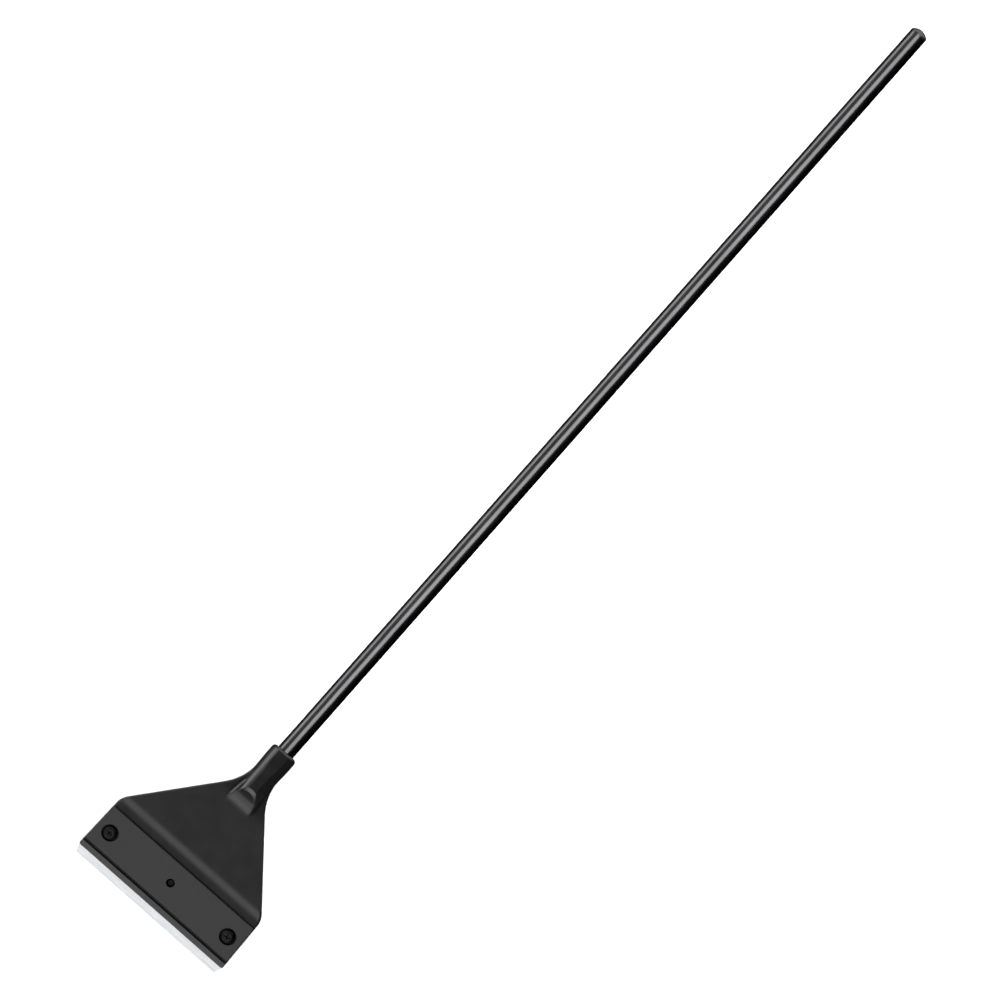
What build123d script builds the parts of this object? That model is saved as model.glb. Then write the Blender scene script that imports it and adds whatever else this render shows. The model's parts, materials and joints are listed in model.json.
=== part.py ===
from build123d import *
import math
import os

os.makedirs("parts", exist_ok=True)

# An aquarium algae scraper: a fan-shaped moulded head that grips a replaceable
# 100 mm blade under a screwed clamp plate, on a long straight tube handle.
# Millimetres. Design frame: X along the blade, Y from the cutting edge towards
# the handle's tip, Z up on the screw side, Z = 0 on the handle's axis.

# ---- driving dimensions -------------------------------------------------
OVERALL_LENGTH = 625.0      # cutting edge to the tip of the handle
FRONT_HALF = 50.8           # head's half width at the lip
REAR_HALF = 49.8            # head's half width at the shoulders
CLAMP_TILT = 15.0           # degrees, the clamp end bends down towards the blade
EDGE_DROP = 10.3            # cutting edge below the handle's axis

# web, between the clamp end and the handle socket
WEB_TOP = 2.3
WEB_BOTTOM = -2.3
VALLEY_TOP = 0.3            # flat valley behind the clamp plate
VALLEY_END = 35.1
BEND_END = 41.5
SHOULDER_Y = 37.4
SHOULDER_RADIUS = 10.0
NECK_Y = 88.88
NECK_HALF = 7.25
NECK_RADIUS = 30.0
WEB_END = 103.0             # the web runs this far into the barrel
UNDER_BEND_END = 45.0
OUTLINE_ROUND = 1.1

# handle socket, a round barrel with a flat on its top and underside
BARREL_RADIUS = 7.5
BARREL_FLARE_START = 97.0
MOUTH_RADIUS = 7.85
MOUTH_FLARE_END = 107.0
SOCKET_MOUTH = 113.3
MOUTH_ROUND = 2.2
BARREL_FLAT = 7.1           # height of the flats above the handle's axis
BARREL_START = 78.3
RAMP_FOOT = 79.2            # the barrel's lower end is cut off on a slope from here
RAMP_FOOT_HEIGHT = 3.5
RAMP_SLOPE = 38.0           # degrees
SCOOP_TOP = 86.7            # the barrel's flat ends here, in a crescent-shaped scoop
SCOOP_RADIUS = 12.0
SCOOP_CENTRE_HEIGHT = 15.5
TONGUE_START = 75.5
TONGUE_HALF = 9.7
TONGUE_RISE = 77.2
TONGUE_RISE_HEIGHT = 3.8
TONGUE_CREST = 79.7
TONGUE_CREST_HEIGHT = 4.75
TONGUE_LEDGE = 84.5
TONGUE_HEIGHT = 5.3
TONGUE_ROUND = 2.4
TOE_START = 72.4            # shallow toe in front of the tongue
TOE_BOTTOM = 2.2            # a little inside the web, so that the toe runs out into it
TOE_HEIGHT = 2.75

# blade, double edged, in the clamp frame
BLADE_LENGTH = 100.0
BLADE_DEPTH = 18.0
BLADE_THICK = 0.4
BEVEL = 1.7
EDGE_LAND = 0.04
BLADE_CLIP_X = 1.2
BLADE_CLIP_Y = 4.2
SLOT_LENGTH = 43.0
SLOT_WIDTH = 5.0
SLOT_BRIDGE = 7.0

# jaw under the blade, in the clamp frame
JAW_FRONT = 4.9
JAW_THICK = 4.0
LIP_UNDER = 1.2
LIP_BEVEL_END = 14.0
JAW_REAR = 36.0
SEAT_END = 18.1             # the blade's rear edge stops just short of this step
PEG_RADIUS = 2.2
PEG_HEIGHT = 0.35

# clamp plate, in the clamp frame
PLATE_FRONT = 4.7
PLATE_REAR = 33.4
PLATE_TOP = 3.4
LIP_TOP = 2.2               # at its rear; it slopes down to its front
LIP_FRONT_TOP = 1.6
LIP_EDGE_ROUND = 0.3
LIP_REAR = 8.2
GROOVE_FLOOR = 0.8
PAD_FRONT = 10.3
PAD_INSET = 0.25
PLATE_EDGE_ROUND = 0.4
PLATE_CORNER = 1.2
REAR_GAP = 0.3

# fasteners, M4 pan head screws into brass inserts
SCREW_X = 41.75
SCREW_Y = 20.8
SCREW_RADIUS = 2.0
SCREW_LENGTH = 6.0
SCREW_TIP_CHAMFER = 0.4
HEAD_RADIUS = 3.5
HEAD_HEIGHT = 2.2
HEAD_ROUND = 1.1
CROSS_REACH = 4.2
CROSS_WIDTH = 0.9
CROSS_DEPTH = 1.5
CROSS_EDGE_DEPTH = 0.4
SCREW_TURN = 12.0           # degrees, how far the crosses stand off square
WASHER_RADIUS = 4.5
WASHER_THICK = 0.8
WASHER_HOLE_RADIUS = 2.15
COUNTERBORE_RADIUS = 4.75
COUNTERBORE_FLOOR = 1.4
PLATE_HOLE_RADIUS = 2.3
INSERT_RADIUS = 2.6
INSERT_LENGTH = 4.0
RUNNING_CLEARANCE = 0.05

# locating pin between the jaw and the plate
PIN_Y = 22.1
PIN_RADIUS = 1.6
PIN_BOTTOM = -3.0
PIN_TOP = 2.3
PIN_HOLE_RADIUS = 2.45
PIN_ROUND = 0.4

# handle
TUBE_RADIUS = 5.0
TUBE_WALL = 1.0
TUBE_START = 98.2
STUD_RADIUS = 3.0
STUD_START = 87.0
STUD_SPIGOT = 16.0
SOCKET_INSERT_RADIUS = 4.2
SOCKET_INSERT_START = 86.4
SOCKET_INSERT_LENGTH = 11.2
SOCKET_FLOOR = 98.0         # the tube's bore ends here, just short of the tube
TIP_RIM = 1.0
TIP_DOME = 2.3
TIP_SPIGOT = 15.0
TIP_SPIGOT_CLEARANCE = 0.05

# lightening pockets under the web
POCKET_START = 47.0
POCKET_END = 70.0
POCKET_RIM = 3.4
POCKET_DEPTH = 2.0
POCKET_CORNER = 1.6
RIB_WIDTH = 1.8
RIB_FAN = 19.0              # degrees between neighbouring ribs
RIB_FOCUS = 92.0            # the ribs fan out from here

# cutting tools reach past what they cut
EXTRA = 0.5
THROUGH = 20.0

SIDES = {"left": -1, "right": 1}
TILT_COS = math.cos(math.radians(CLAMP_TILT))
TILT_SIN = math.sin(math.radians(CLAMP_TILT))


def in_clamp(part):
    """Move a part from the clamp frame, whose Z = 0 is the blade's seat, into the design frame."""
    return Pos(0, 0, -EDGE_DROP) * Rot(X=CLAMP_TILT) * part


def clamp_point(y, z):
    """Side view (Y, Z) in the design frame of a point given in the clamp frame."""
    return (y * TILT_COS - z * TILT_SIN, -EDGE_DROP + y * TILT_SIN + z * TILT_COS)


def along_y(sketch, start, length):
    """Extrude a sketch drawn in X and Z along +Y from a start position."""
    return extrude(Plane(origin=(0, start, 0), x_dir=(1, 0, 0), z_dir=(0, 1, 0)) * sketch, length)


def rod_y(radius, start, length):
    """Round bar along +Y on the handle's axis."""
    return along_y(Circle(radius), start, length)


def disc(radius, bottom, height, x=0.0, y=0.0):
    """Round disc standing on Z = bottom."""
    return extrude(Plane(origin=(x, y, bottom)) * Circle(radius), height)


def symmetric_face(right_side):
    """Face between a right-hand outline, listed front to back, and its mirror image."""
    left_side = [(-x, y) for x, y in reversed(right_side)]
    return make_face(Polyline(*right_side, *left_side, close=True).edges())


# ---- head ---------------------------------------------------------------
def head_outline():
    """Plan of the head: slightly flared sides, rounded shoulders, straight flanks into the neck."""
    face = symmetric_face([
        (FRONT_HALF, 0.0),
        (REAR_HALF, SHOULDER_Y),
        (NECK_HALF, NECK_Y),
        (NECK_HALF, NECK_Y + NECK_RADIUS / 2),
    ])
    shoulders = [v for v in face.vertices() if abs(v.Y - SHOULDER_Y) < 0.01]
    face = fillet(shoulders, SHOULDER_RADIUS)
    necks = [v for v in face.vertices() if abs(v.Y - NECK_Y) < 0.01]
    return fillet(necks, NECK_RADIUS)


def head_side_profile():
    """Side view of the jaw, the bend and the web."""
    wall_z = (VALLEY_TOP + EDGE_DROP - (PLATE_REAR + REAR_GAP) * TILT_SIN) / TILT_COS
    seat_front = clamp_point(JAW_FRONT, 0)
    seat_end = clamp_point(SEAT_END, 0)
    land_front = clamp_point(SEAT_END, BLADE_THICK)
    land_end = clamp_point(PLATE_REAR + REAR_GAP, BLADE_THICK)
    wall_top = clamp_point(PLATE_REAR + REAR_GAP, wall_z)
    valley_end = (VALLEY_END, VALLEY_TOP)
    bend_end = (BEND_END, WEB_TOP)
    under_bend = (UNDER_BEND_END, WEB_BOTTOM)
    jaw_rear = clamp_point(JAW_REAR, -JAW_THICK)
    jaw_bevel = clamp_point(LIP_BEVEL_END, -JAW_THICK)
    lip_under = clamp_point(JAW_FRONT, -LIP_UNDER)
    edges = [
        *Polyline(seat_front, seat_end, land_front, land_end, wall_top, valley_end).edges(),
        Spline(valley_end, bend_end, tangents=[(1, 0), (1, 0)]).edge(),
        *Polyline(bend_end, (WEB_END, WEB_TOP), (WEB_END, WEB_BOTTOM), under_bend).edges(),
        Spline(under_bend, jaw_rear, tangents=[(-1, 0), (-TILT_COS, -TILT_SIN)]).edge(),
        *Polyline(jaw_rear, jaw_bevel, lip_under, seat_front).edges(),
    ]
    return make_face(edges)


def is_web_rim(edge):
    """True for the long edges of the web's outline, which are rounded over."""
    start, end = edge.vertices()[0], edge.vertices()[-1]
    behind_plate = edge.center().Y > VALLEY_END - 1.0
    level = abs(start.Z - end.Z) < WEB_TOP - WEB_BOTTOM - 1.0
    on_one_side = abs(start.X + end.X) > 2 * NECK_HALF - 0.01
    return behind_plate and level and on_one_side and edge.length > OUTLINE_ROUND


def head_slab():
    """Jaw and web in one: the side view carried across the width and trimmed to the plan."""
    side = extrude(Plane.YZ * head_side_profile(), FRONT_HALF + EXTRA, both=True)
    plan = extrude(Plane(origin=(0, 0, -THROUGH)) * head_outline(), 2 * THROUGH)
    slab = side & plan
    rim = [e for e in slab.edges() if is_web_rim(e)]
    return fillet(rim, OUTLINE_ROUND)


def barrel_root_cut():
    """What is cut from the top of the barrel's root: a slope, and a round scoop above it."""
    rise = math.tan(math.radians(RAMP_SLOPE))
    slope_end = RAMP_FOOT + (THROUGH - RAMP_FOOT_HEIGHT) / rise
    slope_start = RAMP_FOOT - RAMP_FOOT_HEIGHT / rise
    corners = ((slope_start, 0), (slope_end, THROUGH), (slope_start, THROUGH))
    wedge = make_face(Polyline(*corners, close=True).edges())
    slope = extrude(Plane.YZ * wedge, THROUGH, both=True)
    reach = math.sqrt(SCOOP_RADIUS ** 2 - (SCOOP_CENTRE_HEIGHT - BARREL_FLAT) ** 2)
    scoop = Pos(0, SCOOP_TOP - reach, SCOOP_CENTRE_HEIGHT) * Sphere(SCOOP_RADIUS)
    return slope + scoop


def socket_barrel():
    """Round barrel, flared a little to its rounded mouth, flatted above and below, and ramped at its root."""
    profile = make_face([
        *Polyline(
            (MOUTH_RADIUS, MOUTH_FLARE_END),
            (MOUTH_RADIUS, SOCKET_MOUTH),
            (0, SOCKET_MOUTH),
            (0, BARREL_START),
            (BARREL_RADIUS, BARREL_START),
            (BARREL_RADIUS, BARREL_FLARE_START),
        ).edges(),
        Spline(
            (BARREL_RADIUS, BARREL_FLARE_START),
            (MOUTH_RADIUS, MOUTH_FLARE_END),
            tangents=[(0, 1), (0, 1)],
        ).edge(),
    ])
    barrel = revolve(profile, Axis.Y)
    barrel &= Pos(0, SOCKET_MOUTH, 0) * Box(2 * THROUGH, SOCKET_MOUTH, 2 * BARREL_FLAT)
    mouth = barrel.faces().sort_by(Axis.Y)[-1]
    barrel = fillet(mouth.edges(), MOUTH_ROUND)
    cut = barrel_root_cut()
    return barrel - cut - mirror(cut, Plane.XY)


def socket_tongue():
    """Tongue and its shallow toe, a little wider than the barrel, on both faces of the web."""
    plan = symmetric_face([(TONGUE_HALF, TOE_START), (NECK_HALF, NECK_Y)])
    foot = (TONGUE_START, TOE_HEIGHT)
    rise = (TONGUE_RISE, TONGUE_RISE_HEIGHT)
    crest = (TONGUE_CREST, TONGUE_CREST_HEIGHT)
    ledge = (TONGUE_LEDGE, TONGUE_HEIGHT)
    toe = (TOE_START, TOE_BOTTOM)
    side = make_face([
        Spline(toe, foot, rise, crest, ledge, tangents=[(1.0, 0.12), (1.0, 0.0)]).edge(),
        *Polyline(ledge, (NECK_Y, TONGUE_HEIGHT), (NECK_Y, 0), (TOE_START, 0), toe).edges(),
    ])
    tongue = extrude(Plane.YZ * side, TONGUE_HALF + EXTRA, both=True)
    tongue &= extrude(plan, TONGUE_HEIGHT + EXTRA)
    crown = [
        e for e in tongue.edges()
        if e.center().Z > WEB_TOP - 0.2
        and abs(e.center().X) > BARREL_RADIUS / 2
        and abs(e.vertices()[0].Y - e.vertices()[-1].Y) > 2
    ]
    tongue = fillet(crown, TONGUE_ROUND)
    return tongue + mirror(tongue, Plane.XY)


def web_pockets():
    """Two pairs of lightening pockets under the web, with ribs that fan out from the socket."""
    slope = (REAR_HALF - NECK_HALF) / (NECK_Y - SHOULDER_Y)
    front = REAR_HALF - slope * (POCKET_START - SHOULDER_Y) - POCKET_RIM
    rear = REAR_HALF - slope * (POCKET_END - SHOULDER_Y) - POCKET_RIM
    field = symmetric_face([(front, POCKET_START), (rear, POCKET_END)])
    rib = Rectangle(RIB_WIDTH, 3 * RIB_FOCUS)
    for step in (-1, 0, 1):
        field -= Pos(0, RIB_FOCUS) * Rot(Z=step * RIB_FAN) * rib
    pockets = Sketch() + [fillet(piece.vertices(), POCKET_CORNER) for piece in field.faces()]
    return extrude(Plane(origin=(0, 0, WEB_BOTTOM)) * pockets, POCKET_DEPTH)


def head_body():
    body = head_slab() + socket_barrel() + socket_tongue()
    body -= web_pockets()
    body -= rod_y(TUBE_RADIUS + RUNNING_CLEARANCE, SOCKET_FLOOR, SOCKET_MOUTH)
    body -= rod_y(SOCKET_INSERT_RADIUS, SOCKET_INSERT_START, SOCKET_MOUTH - SOCKET_INSERT_START)
    peg_x = SLOT_BRIDGE / 2 + SLOT_LENGTH - SLOT_WIDTH / 2
    for side in SIDES.values():
        hole = disc(INSERT_RADIUS, -THROUGH / 2, THROUGH, side * SCREW_X, SCREW_Y)
        body -= in_clamp(hole)
        peg = disc(PEG_RADIUS, -LIP_UNDER, LIP_UNDER + PEG_HEIGHT, side * peg_x, BLADE_DEPTH / 2)
        body += in_clamp(peg)
    pin_hole = disc(PIN_RADIUS, PIN_BOTTOM, THROUGH, 0, PIN_Y)
    return body - in_clamp(pin_hole)


# ---- clamp --------------------------------------------------------------
def clamp_plate():
    """Clamp plate with a thin front lip, a groove behind it and counterbores for the screws."""
    lip_plan = symmetric_face([(FRONT_HALF, PLATE_FRONT), (REAR_HALF, PLATE_REAR)])
    lip_plan = fillet(lip_plan.vertices(), PLATE_CORNER)
    pad_plan = symmetric_face([
        (FRONT_HALF - 2 * PAD_INSET, PAD_FRONT),
        (REAR_HALF - PAD_INSET, PLATE_REAR),
    ])
    pad_plan = fillet(pad_plan.vertices(), PLATE_CORNER)
    base = extrude(Plane(origin=(0, 0, BLADE_THICK)) * lip_plan, GROOVE_FLOOR - BLADE_THICK)
    lip_side = make_face(Polyline(
        (PLATE_FRONT, BLADE_THICK),
        (LIP_REAR, BLADE_THICK),
        (LIP_REAR, LIP_TOP),
        (PLATE_FRONT, LIP_FRONT_TOP),
        close=True,
    ).edges())
    lip = extrude(Plane.YZ * lip_side, FRONT_HALF + EXTRA, both=True)
    lip &= extrude(lip_plan, THROUGH)
    lip = fillet(lip.faces().sort_by(Axis.Z)[-1].edges(), LIP_EDGE_ROUND)
    pad = extrude(Plane(origin=(0, 0, BLADE_THICK)) * pad_plan, PLATE_TOP - BLADE_THICK)
    pad = fillet(pad.faces().sort_by(Axis.Z)[-1].edges(), PLATE_EDGE_ROUND)
    plate = base + lip + pad
    for side in SIDES.values():
        plate -= disc(PLATE_HOLE_RADIUS, 0, PLATE_TOP + 1, side * SCREW_X, SCREW_Y)
        plate -= disc(COUNTERBORE_RADIUS, COUNTERBORE_FLOOR, PLATE_TOP, side * SCREW_X, SCREW_Y)
    plate -= disc(PIN_HOLE_RADIUS, 0, PLATE_TOP + 1, 0, PIN_Y)
    return in_clamp(plate)


def blade():
    """Double-edged blade: two hollow-ground long edges, clipped corners and two slots."""
    mid = BLADE_THICK / 2
    section = make_face(Polyline(
        (0, mid - EDGE_LAND / 2),
        (BEVEL, 0),
        (BLADE_DEPTH - BEVEL, 0),
        (BLADE_DEPTH, mid - EDGE_LAND / 2),
        (BLADE_DEPTH, mid + EDGE_LAND / 2),
        (BLADE_DEPTH - BEVEL, BLADE_THICK),
        (BEVEL, BLADE_THICK),
        (0, mid + EDGE_LAND / 2),
        close=True,
    ).edges())
    strip = extrude(Plane.YZ * section, BLADE_LENGTH / 2, both=True)
    half = BLADE_LENGTH / 2
    plan = symmetric_face([
        (half - BLADE_CLIP_X, 0),
        (half, BLADE_CLIP_Y),
        (half, BLADE_DEPTH - BLADE_CLIP_Y),
        (half - BLADE_CLIP_X, BLADE_DEPTH),
    ])
    strip &= extrude(Plane(origin=(0, 0, -1)) * plan, BLADE_THICK + 2)
    for side in SIDES.values():
        centre = side * (SLOT_BRIDGE + SLOT_LENGTH) / 2
        slot = Pos(centre, BLADE_DEPTH / 2) * SlotOverall(SLOT_LENGTH, SLOT_WIDTH)
        strip -= extrude(Plane(origin=(0, 0, -1)) * slot, BLADE_THICK + 2)
    return in_clamp(strip)


def cross_recess(top):
    """Phillips recess: two crossed slots that deepen to a point."""
    wing = make_face(Polyline(
        (-CROSS_REACH / 2, top + EXTRA),
        (-CROSS_REACH / 2, top - CROSS_EDGE_DEPTH),
        (-CROSS_WIDTH / 2, top - CROSS_DEPTH),
        (CROSS_WIDTH / 2, top - CROSS_DEPTH),
        (CROSS_REACH / 2, top - CROSS_EDGE_DEPTH),
        (CROSS_REACH / 2, top + EXTRA),
        close=True,
    ).edges())
    slot = extrude(Plane.XZ * wing, CROSS_WIDTH / 2, both=True)
    return slot + Rot(Z=90) * slot


def screw(side):
    """M4 pan head screw with its head on the washer."""
    seat = COUNTERBORE_FLOOR + WASHER_THICK
    head = disc(HEAD_RADIUS, seat, HEAD_HEIGHT)
    head = fillet(head.edges().sort_by(Axis.Z)[-1], HEAD_ROUND)
    shank = disc(SCREW_RADIUS, seat - SCREW_LENGTH, SCREW_LENGTH)
    shank = chamfer(shank.edges().sort_by(Axis.Z)[0], SCREW_TIP_CHAMFER)
    body = head + shank - cross_recess(seat + HEAD_HEIGHT)
    return in_clamp(Pos(side * SCREW_X, SCREW_Y) * Rot(Z=side * SCREW_TURN) * body)


def washer(side):
    """Flat M4 washer in the counterbore."""
    ring = disc(WASHER_RADIUS, COUNTERBORE_FLOOR, WASHER_THICK)
    ring -= disc(WASHER_HOLE_RADIUS, COUNTERBORE_FLOOR, WASHER_THICK)
    return in_clamp(Pos(side * SCREW_X, SCREW_Y) * ring)


def thread_insert(side):
    """Brass threaded insert in the jaw, flush with the land under the plate."""
    bottom = BLADE_THICK - INSERT_LENGTH
    sleeve = disc(INSERT_RADIUS, bottom, INSERT_LENGTH)
    sleeve -= disc(SCREW_RADIUS + RUNNING_CLEARANCE, bottom, INSERT_LENGTH)
    return in_clamp(Pos(side * SCREW_X, SCREW_Y) * sleeve)


def locating_pin():
    """Steel pin pressed into the jaw, which squares the plate up."""
    pin = disc(PIN_RADIUS, PIN_BOTTOM, PIN_TOP - PIN_BOTTOM, 0, PIN_Y)
    pin = fillet(pin.edges().sort_by(Axis.Z)[-1], PIN_ROUND)
    return in_clamp(pin)


# ---- handle -------------------------------------------------------------
def socket_insert():
    """Brass M6 insert at the bottom of the socket."""
    ring = rod_y(SOCKET_INSERT_RADIUS, SOCKET_INSERT_START, SOCKET_INSERT_LENGTH)
    return ring - rod_y(STUD_RADIUS + RUNNING_CLEARANCE, SOCKET_INSERT_START, SOCKET_INSERT_LENGTH)


def handle_tube():
    length = OVERALL_LENGTH - TIP_DOME - TIP_RIM - TUBE_START
    tube = rod_y(TUBE_RADIUS, TUBE_START, length)
    return tube - rod_y(TUBE_RADIUS - TUBE_WALL, TUBE_START, length)


def handle_stud():
    """M6 stud whose plain spigot is pressed into the tube's lower end."""
    spigot = rod_y(TUBE_RADIUS - TUBE_WALL, TUBE_START, STUD_SPIGOT)
    thread = rod_y(STUD_RADIUS, STUD_START, TUBE_START - STUD_START)
    thread = chamfer(thread.edges().sort_by(Axis.Y)[0], SCREW_TIP_CHAMFER)
    return spigot + thread


def tip_plug():
    """End plug: a shallow dome over the tube's end and a spigot inside it."""
    rim_start = OVERALL_LENGTH - TIP_DOME - TIP_RIM
    dome_radius = (TUBE_RADIUS ** 2 + TIP_DOME ** 2) / (2 * TIP_DOME)
    cap = rod_y(TUBE_RADIUS, rim_start, TIP_RIM + TIP_DOME)
    cap &= Pos(0, OVERALL_LENGTH - dome_radius, 0) * Sphere(dome_radius)
    spigot_radius = TUBE_RADIUS - TUBE_WALL - TIP_SPIGOT_CLEARANCE
    spigot = rod_y(spigot_radius, rim_start - TIP_SPIGOT, TIP_SPIGOT)
    return cap + spigot


# ---- assembly -----------------------------------------------------------
def all_pieces():
    pieces = {
        "head_body": head_body(),
        "clamp_plate": clamp_plate(),
        "blade": blade(),
        "locating_pin": locating_pin(),
        "socket_insert": socket_insert(),
        "handle_tube": handle_tube(),
        "handle_stud": handle_stud(),
        "tip_plug": tip_plug(),
    }
    for name, side in SIDES.items():
        pieces[name + "_screw"] = screw(side)
        pieces[name + "_washer"] = washer(side)
        pieces[name + "_insert"] = thread_insert(side)
    return pieces


def export_all():
    """Shift every piece so that the origin is under the middle of the whole tool, and write it."""
    pieces = all_pieces()
    box = Compound(children=[Part(p.wrapped) for p in pieces.values()]).bounding_box()
    shift = Pos(-box.center().X, -box.center().Y, -box.min.Z)
    print("shift", shift.position, "size", box.size)
    for name, piece in pieces.items():
        export_step(shift * piece, f"parts/{name}.step")


export_all()
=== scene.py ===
# %% [markdown]
# # An aquarium algae scraper
# The tool is a fan-shaped moulded head that clamps a 100 mm steel blade under a screwed
# plate, on a long straight tube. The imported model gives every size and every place. This
# notebook gives each piece its real finish, and rebuilds the small turned parts, whose
# threads and knurls a plain cylinder leaves out.

import json
import math

import bmesh
import bpy
from mathutils import Matrix, Vector


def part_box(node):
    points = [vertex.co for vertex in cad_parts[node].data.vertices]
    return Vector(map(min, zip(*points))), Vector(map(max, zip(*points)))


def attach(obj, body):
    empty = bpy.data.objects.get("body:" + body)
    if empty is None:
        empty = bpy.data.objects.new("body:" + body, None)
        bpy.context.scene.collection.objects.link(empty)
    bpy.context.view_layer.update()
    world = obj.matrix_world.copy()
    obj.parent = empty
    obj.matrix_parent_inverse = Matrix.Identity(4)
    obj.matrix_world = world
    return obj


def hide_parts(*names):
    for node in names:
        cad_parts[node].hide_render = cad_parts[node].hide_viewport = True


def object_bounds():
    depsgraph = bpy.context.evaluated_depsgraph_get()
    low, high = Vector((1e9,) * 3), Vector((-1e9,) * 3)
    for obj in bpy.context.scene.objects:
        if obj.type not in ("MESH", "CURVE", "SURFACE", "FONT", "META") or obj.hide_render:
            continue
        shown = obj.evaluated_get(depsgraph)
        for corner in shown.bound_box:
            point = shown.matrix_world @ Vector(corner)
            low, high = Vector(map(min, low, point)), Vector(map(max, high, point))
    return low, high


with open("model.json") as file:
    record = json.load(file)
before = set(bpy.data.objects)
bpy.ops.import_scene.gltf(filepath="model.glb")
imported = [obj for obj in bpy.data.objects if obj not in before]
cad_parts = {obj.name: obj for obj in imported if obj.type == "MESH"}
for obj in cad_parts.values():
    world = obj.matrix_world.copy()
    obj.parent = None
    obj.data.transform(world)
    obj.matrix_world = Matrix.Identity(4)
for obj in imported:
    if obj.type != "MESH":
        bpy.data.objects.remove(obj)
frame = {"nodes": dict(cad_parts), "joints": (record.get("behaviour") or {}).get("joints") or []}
CAD_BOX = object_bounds()
NODES = frame["nodes"]
MM = 0.001
JOINTS = {joint["name"]: joint for joint in frame["joints"]}

tool_low, tool_high = (Vector(corner) for corner in CAD_BOX)
print("tool size, mm:", [round(side / MM, 1) for side in tool_high - tool_low])

# %% [markdown]
# ## The tool's own directions
# The clamp end of the head bends down towards the blade. The lift of the clamp plate runs
# square to the blade, so the joint's axis gives the tilt without measuring anything. The
# blade's own frame has X along the edge, Y from the edge into the clamp, Z square to it.

# %% Directions of the clamp
CLAMP_NORMAL = Vector(JOINTS["clamp_lift"]["axis"]).normalized()
CLAMP_TILT = math.atan2(-CLAMP_NORMAL.y, CLAMP_NORMAL.z)

blade_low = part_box("blade")[0]
CLAMP_FRAME = Matrix.Translation((0, blade_low.y, blade_low.z)) @ Matrix.Rotation(CLAMP_TILT, 4, "X")

tube_low, tube_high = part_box("handle_tube")
HANDLE_Z = (tube_low.z + tube_high.z) / 2
TUBE_RADIUS = (tube_high.x - tube_low.x) / 2
print("clamp tilt, degrees:", round(math.degrees(CLAMP_TILT), 2))
print("tube radius, mm:", round(TUBE_RADIUS / MM, 2))

# %% [markdown]
# ## Helpers for materials
# Colours are written as sRGB hex, as a paint chart gives them, and one function turns them
# into the linear values that the shader works in. One more function adds a node, sets its
# fields and links its inputs, so that a material reads from top to bottom.


# %% Colour and node helpers
def linear(hex_colour):
    """Linear RGBA of an sRGB hex colour."""
    channels = [int(hex_colour[i:i + 2], 16) / 255 for i in (1, 3, 5)]
    rgb = [c / 12.92 if c <= 0.04045 else ((c + 0.055) / 1.055) ** 2.4 for c in channels]
    return (*rgb, 1.0)


def add(tree, kind, inputs=None, **fields):
    """Add a node, set its fields, and set or link its inputs by name or index."""
    node = tree.nodes.new(kind)
    for name, value in fields.items():
        setattr(node, name, value)
    for key, value in (inputs or {}).items():
        socket = node.inputs[key]
        if isinstance(value, bpy.types.NodeSocket):
            tree.links.new(value, socket)
        else:
            socket.default_value = value
    return node


def new_material(name, **shader_inputs):
    """A material with only a Principled shader, and its tree."""
    material = bpy.data.materials.new(name)
    material.use_nodes = True
    tree = material.node_tree
    tree.nodes.clear()
    shader = add(tree, "ShaderNodeBsdfPrincipled", {k.replace("_", " "): v for k, v in shader_inputs.items()})
    add(tree, "ShaderNodeOutputMaterial", {"Surface": shader.outputs["BSDF"]})
    return material, tree, shader


def dress(obj, material):
    """Give an object one material."""
    obj.data.materials.clear()
    obj.data.materials.append(material)


# %% [markdown]
# ## The camera and the light
# The tool is seen from straight above on its screw side. A very long lens from far away keeps
# the head, which lies 10 mm lower than the tube, at its true scale. The camera is turned so
# that the handle points up and to the right.

# %% Camera
VIEW_WIDTH = 532 * MM
HANDLE_ANGLE = math.radians(48.585)
VIEW_ALONG = 0.463
VIEW_ASIDE = -3.3 * MM
LENS = 1000.0
SENSOR = 36.0

camera_data = bpy.data.cameras.new("camera")
camera_data.lens = LENS
camera_data.sensor_width = SENSOR
camera = bpy.data.objects.new("camera", camera_data)
bpy.context.scene.collection.objects.link(camera)
camera.location = (
    VIEW_ASIDE,
    tool_low.y + VIEW_ALONG * (tool_high.y - tool_low.y),
    HANDLE_Z + VIEW_WIDTH * LENS / SENSOR,
)
camera.rotation_euler = (0, 0, math.pi / 2 - HANDLE_ANGLE)
bpy.context.scene.camera = camera
bpy.context.scene.view_settings.view_transform = "Standard"
print("camera height, m:", round(camera.location.z, 3))

# %% [markdown]
# The floor is a sheet of white paper, large enough to fill every view. Gloss does not see it,
# so that the tube's lower sides stay dark.

# %% Floor
FLOOR_SIDE = 12.0
FLOOR_DROP = 0.5 * MM

half = FLOOR_SIDE / 2
corners = [(-half, -half, 0), (half, -half, 0), (half, half, 0), (-half, half, 0)]
floor_mesh = bpy.data.meshes.new("floor")
floor_mesh.from_pydata(corners, [], [(0, 1, 2, 3)])
floor = bpy.data.objects.new("floor", floor_mesh)
bpy.context.scene.collection.objects.link(floor)
floor.location.z = -FLOOR_DROP
floor_paint, floor_tree, floor_shader = new_material("matt white paper", Roughness=0.9)
floor_shader.inputs["Base Color"].default_value = linear("#fbfbfa")
dress(floor, floor_paint)
floor.visible_glossy = False

# %% [markdown]
# ## Light
# A bright sky lights the paper, but gloss sees a dark room instead: dim grey on the left, black
# on the right, and a bright wall beyond the handle's tip. Soft lamps make the highlights: a
# strip over the tube, a low softbox on the left, and a bank of softboxes in front of the
# head, which the tilted plate and blade turn towards the camera.

# %% World and lamps
world = bpy.data.worlds.new("studio")
bpy.context.scene.world = world
world.use_nodes = True
sky = world.node_tree
sky.nodes.clear()
direction = add(sky, "ShaderNodeTexCoord")
split = add(sky, "ShaderNodeSeparateXYZ", {0: direction.outputs["Generated"]})


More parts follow.
